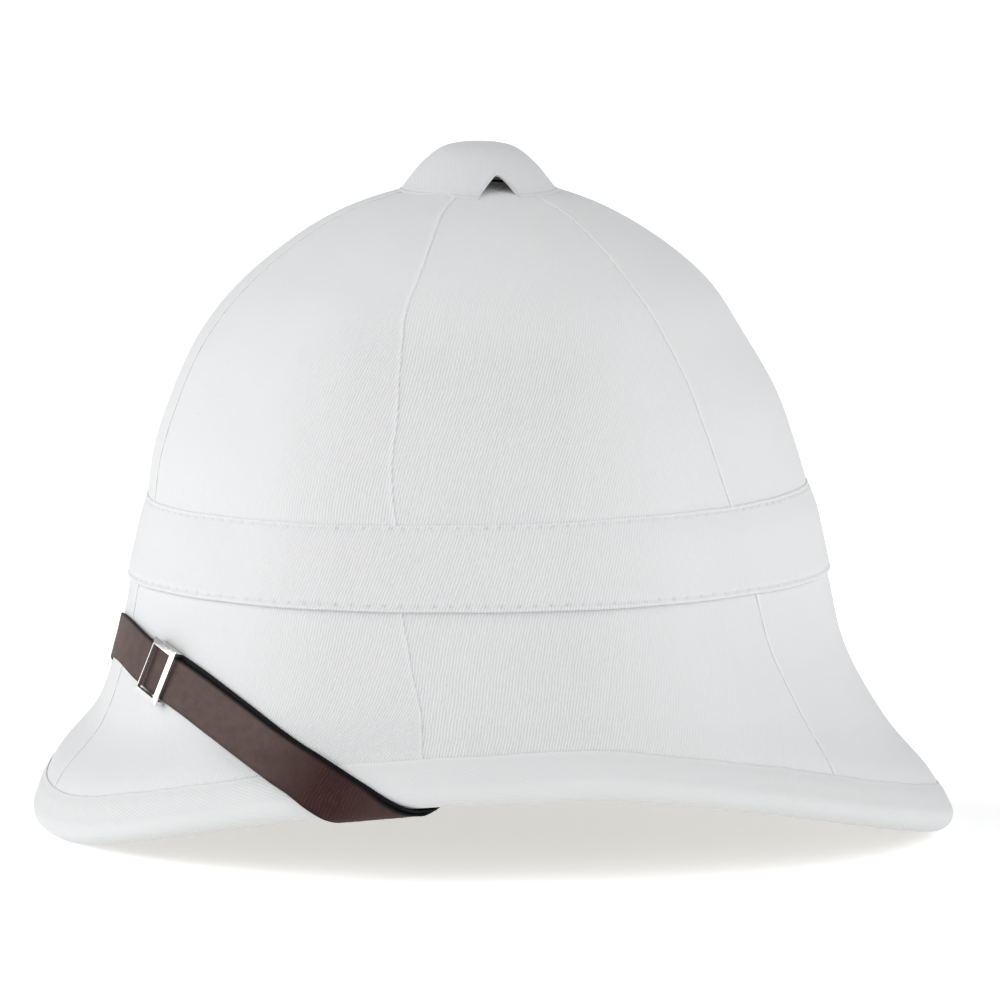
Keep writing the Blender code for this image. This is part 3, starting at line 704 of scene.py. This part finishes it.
def build_binding():
    columns = 640
    angles = circle(columns, math.pi)       # it is joined at the back
    run, girth = run_round(cover_point(angles, float(LAST)))
    width = BINDING_WIDTH - 0.3 + ripple(run, (girth / 11.0, 0.22, 0.3), (girth / 29.0, 0.12, 1.1),
                                         (girth / 71.0, 0.05, 2.0))
    base = 2.0 * ROLL_RADIUS - PROUD
    hidden = np.full(columns, 40.0)
    rows = []

    def add_rim_row(distance, lift, down):
        """A row at a distance above the roll, over the cover or, if lift is negative, inside it."""
        rows.append((offset_point(angles, level_above_rim(angles, distance)[:, 0], lift), down))

    def add_roll_row(turn, radius, down):
        rows.append((roll_point(angles, turn, radius), down))

    for share, lift in BINDING_OUTSIDE:
        pull = 0.05 * ripple(run + 6.0 * share, (5.7, 1.0, 0.0), (8.9, 0.8, 1.0)) * share
        add_rim_row(width[:, None] * share, lift + pull, width * (1.0 - share))
    uneven = ripple(run, (girth / 13.0, 0.10, 0.0), (girth / 37.0, 0.05, 1.0))
    for turn in np.radians(np.linspace(0.0, 180.0, 22)):
        add_roll_row(turn, ROLL_RADIUS + uneven * math.sin(turn) * math.cos(0.5 * turn),
                     width + ROLL_RADIUS * turn)
    inside = width + math.pi * ROLL_RADIUS
    for distance in np.linspace(0.0, BINDING_INNER_WIDTH, 8)[1:]:
        swell = max(0.0, 1.0 - distance / (0.6 * BINDING_INNER_WIDTH)) ** 1.5
        add_rim_row([distance], -(INNER_WALL + (base - INNER_WALL) * swell), inside + distance)
    # the raw inner edge, turned back to the shell
    add_rim_row([BINDING_INNER_WIDTH], -INNER_WALL + BINDING, inside + BINDING_INNER_WIDTH)
    # hidden underside of the tape, back to where it began
    for distance in (5.4, 1.0):
        depth = INNER_WALL - BINDING + (base - INNER_WALL) * max(0.0, 1.0 - distance / 5.4)
        add_rim_row([distance], -depth, hidden)
    for turn in np.radians((180.0, 135.0, 90.0, 45.0, 0.0)):
        add_roll_row(turn, ROLL_RADIUS - BINDING, hidden)
    add_rim_row(width[:, None] * 0.9, 0.06, hidden)
    points, down = (np.stack(values) for values in zip(*rows))
    # painted highlight along the binding's folded top edge, in "fold"
    piece = new_object("bias_binding", points, grid_faces(len(points), columns, True, True), bias_twill,
                       {"weave": weave_at(run, down, 90.0), "fold": ridge(down + 0.1),
                        "grain": np.ones(down.size)})
    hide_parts("rim_binding")


# ---- Ventilator cap ----
CAP_CENTRE, CAP_BASE = -0.6, 135.3
CAP_WALL = 1.3
CAP_PROFILE = np.array(((27.9, 0.0), (26.1, 2.2), (24.6, 4.3), (22.9, 6.5), (21.1, 8.7), (18.6, 11.1),
                        (16.0, 13.4), (14.0, 14.7), (11.7, 15.9), (6.9, 16.9), (0.0, 17.2)))
HEM_RADIUS, HEM_LIFT, HEM_HEIGHT = 28.1, 0.12, 2.6
# turn from the front in degrees, and how far the hem spreads beyond its mean radius there
HEM_SPREAD = ((0.0, 0.2), (20.0, 0.2), (34.0, -0.4), (46.0, -0.7), (52.0, -0.6), (56.0, 0.7), (64.0, 1.4),
              (71.0, 2.2), (80.0, 1.6), (103.0, 0.8), (124.0, 0.7), (140.0, 0.9), (180.0, 0.4), (215.0, 0.0),
              (250.0, 0.6), (290.0, 0.5), (330.0, 0.3), (360.0, 0.2))
# the notch's half width and the power of its arch, towards the front and towards the back
NOTCH_FRONT, NOTCH_BACK = (7.7, 1.35), (6.8, 2.0)
NOTCH_HEIGHT, NOTCH_CENTRE = 7.2, -0.4


def notch_height(along):
    """The arch's height at a place along Y, 0 outside it."""
    offset = along - NOTCH_CENTRE
    half, power = (np.where(offset < 0.0, a, b) for a, b in zip(NOTCH_FRONT, NOTCH_BACK))
    return NOTCH_HEIGHT * clamp(1.0 - (np.abs(offset) / half) ** power)


def build_cap():
    """A cloth-covered dome whose hem lies on the crown and rises over two notches."""
    columns = 420
    turns = circle(columns)
    notch = notch_height(CAP_CENTRE - 27.0 * np.cos(turns))
    arc = run_along(CAP_PROFILE)
    fine = np.linspace(0.0, arc[-1], 300)
    smooth = bell(fine[:, None], fine[None, :], 1.3 * math.sqrt(2.0))
    smooth /= smooth.sum(axis=1, keepdims=True)
    keep = clamp(fine / 3.0) * clamp((arc[-1] - fine) / 3.0)
    lines = [np.interp(fine, arc, column) for column in CAP_PROFILE.T]
    fine_r, fine_h = (line + (smooth @ line - line) * keep for line in lines)
    out_r, out_h = np.gradient(fine_h), -np.gradient(fine_r)
    size = np.hypot(out_r, out_h)
    out_r, out_h = out_r / size, out_h / size
    start = np.interp(notch, fine_h, fine)

    edge_r = HEM_RADIUS + (look_up(np.degrees(turns), HEM_SPREAD)
                           + ripple(turns, (TAU / 7.0, 0.12, 0.0), (TAU / 16.0, 0.08, 1.0)))
    crown = cover_point(turns[:, None], np.linspace(0.6, 2.4, 60)[None, :])
    crown_r = np.linalg.norm(crown[..., :2] - np.array((0.0, CAP_CENTRE)), axis=-1)
    edge_h = interp_rows(edge_r[:, None], crown_r, crown[..., 2])[:, 0] + HEM_LIFT - CAP_BASE
    along_notch = clamp(notch / 1.2)

    def ring(above, inset):
        """A ring at a way up the dome from its edge, inset from the outside."""
        at = start + above
        r = np.interp(at, fine, fine_r) - inset * np.interp(at, fine, out_r)
        h = np.interp(at, fine, fine_h) - inset * np.interp(at, fine, out_h)
        hem = clamp(1.0 - above / HEM_HEIGHT) ** 2 * (1.0 - along_notch)
        r, h = r + (edge_r - CAP_PROFILE[0, 0]) * hem, h + edge_h * hem
        return np.stack((r * np.sin(turns), CAP_CENTRE - r * np.cos(turns), CAP_BASE + h), -1)

    def folded(above):
        """The hem's ridge, its stitched groove and the plain dome above them."""
        return 0.16 * bell(above, 0.45, 0.3) - 0.14 * bell(above, 1.15, 0.25)

    reach = arc[-1] - start
    ups = [0.0, 0.1, 0.25, 0.45, 0.65, 0.85, 1.0, 1.15, 1.3, 1.5, 1.8, 2.2, 2.7]
    outside = [ring(up, -folded(up) if up else 0.0) for up in ups]
    outside += [ring(ups[-1] + (reach - ups[-1]) * share, 0.0) for share in inner_shares(32)]
    inside = [ring(up, CAP_WALL) for up in (0.15, 0.6, 1.4)]
    inside += [ring(1.4 + (reach - 1.4) * share, CAP_WALL) for share in inner_shares(12)]
    lip = [ring(0.04, CAP_WALL * 0.85), ring(-0.04, CAP_WALL * 0.5), ring(-0.02, CAP_WALL * 0.15)]
    rings = inside[::-1] + lip + outside
    top = [[0.0, CAP_CENTRE, CAP_BASE + fine_h[-1] - depth] for depth in (0.0, CAP_WALL)]
    points = np.concatenate((*rings, top))
    faces = grid_faces(len(rings), columns, True).tolist()
    faces += fan((len(rings) - 1) * columns, columns, len(points) - 2)
    faces += [[b, a, tip] for a, b, tip in fan(0, columns, len(points) - 1)]
    # the cloth is laid over the dome, its lines running up the side
    x, y, z = points.T
    weave = np.stack((y, 1.1 * (z - CAP_BASE) - 0.35 * np.abs(x), 0.05 * x), -1)
    piece = new_object("ventilator_dome", points, faces, cap_twill,
                       {"weave": weave, "grain": np.ones(len(points))})
    fix_facing(piece)
    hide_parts("ventilator_cap")


# ---- Chin strap ----
def rim_point(angle, across, lift):
    """A point by its way across the rim: negative above the roll outside, then round it and up inside."""
    def over(distance, depth):
        return offset_point(angle, level_above_rim(angle, [distance])[0, 0], depth)

    if across < 0.0:
        ramp = look_up(-across, ((BINDING_WIDTH + 1.5, 1.0), (BINDING_WIDTH + 9.0, 0.0)))
        return over(-across, PROUD * ramp + lift)
    distance = across - math.pi * ROLL_RADIUS
    if distance <= 0.0:
        turn = across / ROLL_RADIUS
        return roll_point(angle, turn, ROLL_RADIUS + lift + STRAP_INNER_ROOM * math.sin(0.5 * turn) ** 2)
    depth = np.interp(distance, (2.0, BINDING_INNER_WIDTH + 4.0), (2.0 * ROLL_RADIUS - PROUD, INNER_WALL))
    return over(distance, -depth - STRAP_INNER_ROOM - lift)


def strap_way(degrees):
    """The centre line's way across the rim at an angle, on a smooth curve through STRAP_COURSE."""
    ways = (STRAP_COURSE[1], *STRAP_COURSE, 2.0 * STRAP_COURSE[-1] - STRAP_COURSE[-2])
    row = min(int(degrees / STRAP_STEP), len(STRAP_COURSE) - 2)
    return -spline(*ways[row:row + 4], degrees / STRAP_STEP - row)


def strap_course(count_front, count_wrap, count_inside):
    """The strap's centre line over its left half, as pairs of angle and way across the rim."""
    fine = np.linspace(0.0, STRAP_END_ANGLE, 500)
    turn, inside = np.interp((0.0, math.pi * ROLL_RADIUS), [strap_way(degrees) for degrees in fine], fine)
    places = list(turn * (1.0 - np.linspace(1.0, 0.0, count_front, endpoint=False) ** 1.35))
    places += list(np.linspace(turn, inside, count_wrap, endpoint=False))
    places += list(inside + (STRAP_END_ANGLE - inside) * np.linspace(0.0, 1.0, count_inside) ** 1.5)
    return [(math.radians(degrees), strap_way(degrees)) for degrees in places]


def whole_course(course):
    """The course from the right stud over the front to the left stud."""
    right = []
    for angle, _ in course[:0:-1]:
        degrees = math.degrees(angle)
        lean = STRAP_LEAN * (1.0 - ease(min(1.0, degrees / 60.0)))
        right.append((-angle, strap_way(max(0.0, degrees - lean))))
    return right + course


def skin_slopes(angle, across):
    step = 0.01
    turned = rim_point(angle + step, across, 0.0) - rim_point(angle - step, across, 0.0)
    crossed = rim_point(angle, across + step, 0.0) - rim_point(angle, across - step, 0.0)
    return np.stack((turned, crossed), axis=1) / (2.0 * step)


def walk(angle, across, heading, distance, steps):
    """Straight over the skin from a point: the places reached after each of a number of steps."""
    places = []
    for _ in range(steps):
        turn, cross = np.linalg.lstsq(skin_slopes(angle, across), heading * distance / steps, rcond=None)[0]
        angle, across = angle + turn, across + cross
        normal = unit(np.cross(*skin_slopes(angle, across).T))
        heading = unit(heading - normal * np.dot(heading, normal))
        places.append((angle, across))
    return places


def strap_grid(course, lift_at, half_width):
    """The strap's underside: rows of points across it, square to its course."""
    line = np.array([rim_point(angle, across, 0.0) for angle, across in course])
    tangents = unit(np.gradient(line, axis=0))
    rows = []
    for (angle, across), tangent in zip(course, tangents):
        square = unit(np.cross(unit(np.cross(*skin_slopes(angle, across).T)), tangent))
        sides = [walk(angle, across, square * way, half_width, 6)[1::2] for way in (1.0, -1.0)]
        places = sides[0][::-1] + [(angle, across)] + sides[1]
        rows.append([rim_point(*place, lift_at(angle)) for place in places])
    return np.array(rows)


def refine(grid, count, axis):
    """A finer grid of points along an axis, evenly by arc length, and its length."""
    grid = np.moveaxis(grid, axis, 0)
    run = run_along(grid).mean(axis=1)
    place = np.interp(np.linspace(0.0, run[-1], count), run, np.arange(len(grid)))
    row = np.clip(np.floor(place).astype(int), 0, len(grid) - 2)
    rows = np.concatenate(([2 * grid[0] - grid[1]], grid, [2 * grid[-1] - grid[-2]]))
    finer = spline(*(rows[row + k] for k in range(4)), (place - row)[:, None, None])
    return np.moveaxis(finer, 0, axis), run[-1]


LEATHER = 1.02
CLOSE_SEAT = 0.12
LOWER_EDGE = 0.25                   # the blacking left on the strap's worn lower edge
ROWS_PER_MM = 1.4
# round the leather's edge from its face: height, drawn for leather 1.1 mm thick, and reach past the side
STRAP_EDGE = [(height * LEATHER / 1.1, reach) for height, reach in
              ((0.95, 0.0), (0.6, 0.06), (0.25, 0.02), (0.04, -0.22))]
# degrees from the front, and the strap's height over what it lies on
MAIN_SEAT = ((-60.0, STRAP_SEAT), (-40.0, CLOSE_SEAT), (13.0, CLOSE_SEAT), (16.0, STRAP_SEAT),
             (24.0, STRAP_SEAT), (45.0, CLOSE_SEAT), (76.0, CLOSE_SEAT), (84.0, STRAP_SEAT))
# degrees from the front to either side, and the share of creasing and of painted shade where the strap wraps
# round the rim
CREASES_AND_WRAP_SHADE = ((44.0, 0.0), (49.0, 0.25), (56.0, 1.0), (59.0, 1.0), (63.0, 0.65), (74.0, 0.65), (84.0, 0.0))


def main_lift(angle):
    """The strap's underside: on the cover, and on the second layer from the slide to inside the rim."""
    degrees = math.degrees(angle)
    raised = look_up(degrees, ((-8.0, 0.0), (14.0, 1.0), (UNDERLAY_END, 1.0), (UNDERLAY_END + 7.0, 0.0)))
    return look_up(degrees, MAIN_SEAT) + ease(raised) * (LEATHER + 0.06)


def leather_strip(name, grid, crease_and_shade_at, node, phase, black=0.0):
    """A strap with a slightly crowned face and rounded, blackened edges, over its underside's grid."""
    count, last = int(run_along(grid[:, 3])[-1] * ROWS_PER_MM), 14
    base, length = refine(grid, count, 0)
    base, _ = refine(base, last + 1, 1)
    side = unit(np.gradient(base, axis=1))
    out = unit(np.cross(unit(np.gradient(base, axis=0)), side))
    if np.mean(np.sum(out * (base - base.mean(axis=(0, 1))), axis=-1)) < 0.0:
        out = -out
    share = np.linspace(-1.0, 1.0, last + 1)
    run = np.linspace(0.0, length, count)
    x = share * 0.5 * STRAP_WIDTH
    # creasing along the strap, which also sets its painted shade round the rim
    crease_and_shade = crease_and_shade_at(run / length)
    fold = np.sin(TAU * (run[:, None] + 0.12 * x) / 2.6 + 1.7 * np.sin(0.9 * x)) ** 3
    top = base + out * (LEATHER - 0.10 * share ** 4 + 0.07 * crease_and_shade[:, None] * fold)[..., None]
    worn = max(black, LOWER_EDGE)
    # each line along the strap, its place across and its blacking: the face, pulled in a little so that
    # the edges can round, one edge, the underside and the other edge
    lines = [(top[:, k] - side[:, k] * 0.28 * share[k], x[k], {0: worn, last: 1.0}.get(k, black))
             for k in range(last + 1)]
    lines += [(base[:, last] + side[:, last] * reach + out[:, last] * height, 8.5, 1.0)
              for height, reach in STRAP_EDGE]
    lines += [(base[:, k], x[k], 1.0) for k in range(12, 1, -2)]
    lines += [(base[:, 0] - side[:, 0] * reach + out[:, 0] * height, -8.5, worn)
              for height, reach in STRAP_EDGE[::-1]]
    ring, across_at, edge = (np.stack(values) for values in zip(*lines))
    ring = np.swapaxes(ring, 0, 1)
    rows, columns = ring.shape[:2]
    faces = grid_faces(rows, columns, True).tolist()
    faces += [list(range(columns)), list(range((rows - 1) * columns, rows * columns))[::-1]]
    place = np.stack(np.broadcast_arrays(run[:, None] + phase, across_at, edge * 3.0), -1)
    piece = new_object(name, ring, faces, leather, {
        "strap": place, "edge": np.broadcast_to(edge, (rows, columns)),
        "crease_and_shade": np.broadcast_to(crease_and_shade[:, None], (rows, columns))})
    fix_facing(piece)
    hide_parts(node)
    return length


def build_straps():
    course = strap_course(15, 11, 8)
    whole = whole_course(course)
    grid = strap_grid(whole, main_lift, 0.5 * STRAP_WIDTH)
    run = run_along(grid[:, 3])
    degrees = np.array([math.degrees(angle) for angle, _ in whole])

    # creasing and painted shade, by angle from the front
    def wrap_crease_and_shade(share):
        return look_up(np.abs(np.interp(share * run[-1], run, degrees)), CREASES_AND_WRAP_SHADE)

    length = leather_strip("leather_strap", grid, wrap_crease_and_shade, "chin_strap", 0.0)
    second = [(angle, across - UNDERLAY_SHIFT) for angle, across in course
              if UNDERLAY_START < math.degrees(angle) < UNDERLAY_END]

    def seat(angle):
        return look_up(math.degrees(angle), ((24.0, STRAP_SEAT), (45.0, CLOSE_SEAT)))

    # the tongue is blacked all over: partly its black-dyed edges, partly painted shade on the strip of its
    # face showing above the main strap
    leather_strip("leather_strap_tongue", strap_grid(second, seat, 0.5 * STRAP_WIDTH),
                  np.zeros_like, "chin_strap_underlay", 500.0, 1.0)
    return course, length


# ---- Slide and studs ----
def strap_frame(course, degrees, lift):
    """The strap's frame at an angle outside: a point, the way along it, across it and out of it."""
    course_degrees = [(math.degrees(angle), across) for angle, across in course]

    def at(value, height):
        return rim_point(math.radians(value), look_up(value, course_degrees), height)

    point = at(degrees, lift)
    along = unit(at(degrees + 1.0, lift) - at(degrees - 1.0, lift))
    out = unit(at(degrees, lift + 1.0) - at(degrees, lift))
    across = unit(np.cross(out, along))
    return point, along, across, np.cross(along, across)


def bar(shape, x, y, z, bevel):
    """A bevelled bar between two places along X, Y and Z."""
    ends = [[shape.verts.new((*place, height)) for place in
             ((x[0], y[0]), (x[1], y[0]), (x[1], y[1]), (x[0], y[1]))] for height in z]
    faces = [shape.faces.new(ends[0]), shape.faces.new(ends[1])]
    faces += [shape.faces.new((ends[0][k], ends[0][(k + 1) % 4], ends[1][(k + 1) % 4], ends[1][k]))
              for k in range(4)]
    bmesh.ops.recalc_face_normals(shape, faces=faces)
    soften(shape, list(dict.fromkeys(edge for face in faces for edge in face.edges)), bevel)


def soften(shape, edges, bevel):
    bmesh.ops.bevel(shape, geom=edges, offset=bevel, segments=2, profile=0.6, affect="EDGES",
                    clamp_overlap=True)


# inset from the slide's outside as a share of SLIDE_MITRE, and height: round one bar from its outer edge
SLIDE_SECTION = ((0.06, 3.25), (0.0, 3.75), (0.95, 4.65), (1.08, 4.65), (1.12, 3.2))
SLIDE_MITRE = (1.62, 2.1)
# radius and height round a stud's head
STUD_PROFILE = ((4.5, 0.0), (4.6, 0.35), (4.4, 0.7), (3.9, 0.85), (3.7, 1.0), (3.2, 1.45), (2.2, 1.8),
                (1.1, 1.95))
STUD_SIDES = 40


def build_slide(course):
    """A mitred frame over the strap whose faces slope outward, its two cheeks and a bar under the strap."""
    point, along, across, out = strap_frame(course, SLIDE_ANGLE, STRAP_SEAT)
    cosine, sine = math.cos(math.radians(SLIDE_TURN)), math.sin(math.radians(SLIDE_TURN))
    along, across = along * cosine + across * sine, across * cosine - along * sine
    half, side = 0.5 * SLIDE_LENGTH, 0.5 * SLIDE_WIDTH
    shape = bmesh.new()
    loops = []
    for share, height in SLIDE_SECTION:
        x, y = half - share * SLIDE_MITRE[0], side - share * SLIDE_MITRE[1]
        loops.append([shape.verts.new((*corner, height)) for corner in ((-x, -y), (x, -y), (x, y), (-x, y))])
    faces = [shape.faces.new((one[k], one[(k + 1) % 4], other[(k + 1) % 4], other[k]))
             for one, other in zip(loops, loops[1:] + loops[:1]) for k in range(4)]
    bmesh.ops.recalc_face_normals(shape, faces=faces)
    soften(shape, list(shape.edges), 0.09)
    for way in (-1.0, 1.0):
        cheek = sorted((way * (side - 1.9), way * (side - 0.5)))
        bar(shape, (-half + 0.5, half - 0.5), cheek, (0.45, 3.35), 0.12)
    bar(shape, (-0.9, 0.9), (-side + 0.7, side - 0.7), (0.3, 1.2), 0.2)
    shape.verts.index_update()
    points = [point + along * x + across * y + out * z for x, y, z in (vertex.co for vertex in shape.verts)]
    faces = [[vertex.index for vertex in face.verts] for face in shape.faces]
    shape.free()
    piece = new_object("strap_slide_frame", points, faces, nickel)
    fix_facing(piece)
    piece.data.set_sharp_from_angle(angle=math.radians(35.0))
    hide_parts("strap_slide")


def build_stud(course, side, node):
    """A domed rivet head on the strap's end, turned on a lathe."""
    angle, across = course[-2]
    lift = STRAP_SEAT + STRAP + 0.1
    base = rim_point(side * angle, across, lift)
    out = unit(rim_point(side * angle, across, lift + 1.0) - base)
    first = unit(np.cross(out, UP))
    second = np.cross(out, first)
    turns = circle(STUD_SIDES)
    rings = [base + out * height
             + radius * (first * np.cos(turns)[:, None] + second * np.sin(turns)[:, None])
             for radius, height in STUD_PROFILE]
    points = np.concatenate([*rings, [base + out * 2.0]])
    faces = grid_faces(len(rings), STUD_SIDES, True).tolist()
    faces += fan((len(rings) - 1) * STUD_SIDES, STUD_SIDES, len(points) - 1) + [list(range(STUD_SIDES))]
    piece = new_object(node + "_head", points, faces, nickel)
    fix_facing(piece)
    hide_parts(node)


build_panels()
build_shell()
build_band()
build_binding()
build_cap()
course, strap_length = build_straps()
build_slide(course)
build_stud(course, 1, "strap_stud_left")
build_stud(course, -1, "strap_stud_right")


# ---- Floor, light and camera ----
FLOOR = 30.0                        # half its side, in metres
CAMERA_AZIMUTH, CAMERA_ELEVATION = 74.0, 7.2
CAMERA_AIM, CAMERA_DISTANCE = 30.0, 3000.0


def build_floor():
    mesh = bpy.data.meshes.new("studio_floor")
    mesh.from_pydata([(FLOOR * x, FLOOR * y, 0.0) for x, y in ((-1, -1), (1, -1), (1, 1), (-1, 1))], [],
                     [(0, 1, 2, 3)])
    white = rgba(1.0, 1.0, 1.0)
    mesh.materials.append(Nodes("pale_floor").surface(
        Base_Color=rgba(0.86, 0.86, 0.86), Emission_Color=white, Emission_Strength=0.45, Roughness=1.0,
        Specular_IOR_Level=0.0))
    floor = link("studio_floor", mesh)


def direction(azimuth, elevation):
    """The way to a place round from the front, towards the wearer's left, and up, in degrees."""
    azimuth, elevation = math.radians(azimuth), math.radians(elevation)
    return np.array((math.sin(azimuth) * math.cos(elevation), -math.cos(azimuth) * math.cos(elevation),
                     math.sin(elevation)))


def build_camera():
    """The photo's camera: 74 degrees round to the wearer's left and 7.2 degrees up, 3 m away."""
    back = direction(CAMERA_AZIMUTH, CAMERA_ELEVATION)
    right = direction(CAMERA_AZIMUTH + 90.0, 0.0)
    turn = Matrix((right, np.cross(back, right), back)).transposed()
    matrix = (REST.to_3x3() @ turn).to_4x4()
    matrix.translation = Vector(rest(np.array((0.0, 0.0, CAMERA_AIM)) + back * CAMERA_DISTANCE))
    data = bpy.data.cameras.new("photo_camera")
    data.sensor_width, data.lens = 36.0, 304.5
    data.shift_x, data.shift_y = 0.020, -0.0145
    data.clip_start, data.clip_end = 0.1, 100.0
    camera = link("photo_camera", data)
    camera.matrix_world = matrix
    bpy.context.scene.camera = camera


def soft_sun(name, azimuth, elevation, spread, strength):
    """A broad soft light from a direction, the same everywhere on the floor."""
    data = bpy.data.lights.new(name, "SUN")
    data.energy, data.angle = strength, math.radians(spread)
    light = link(name, data)
    light.rotation_euler = Vector(direction(azimuth, elevation)).to_track_quat("Z", "Y").to_euler()


def build_light():
    """A studio tent, brighter at its walls than at its top, and two broad lights from the sides."""
    n = Nodes("studio", "worlds", "Background")
    height = n.node("ShaderNodeSeparateXYZ", {0: n.place("Generated")}).outputs["Z"]
    bpy.context.scene.world = n.surface(Color=rgba(0.985, 0.99, 1.0),
                                        Strength=n.ramp(height, 0.0, 1.0, 0.90, 0.04))
    soft_sun("left_softbox", 2.0, 20.0, 70.0, 2.68)
    soft_sun("right_softbox", 143.0, 24.0, 70.0, 1.92)


build_floor()
build_camera()
build_light()
bpy.context.scene.view_settings.view_transform = "Standard"
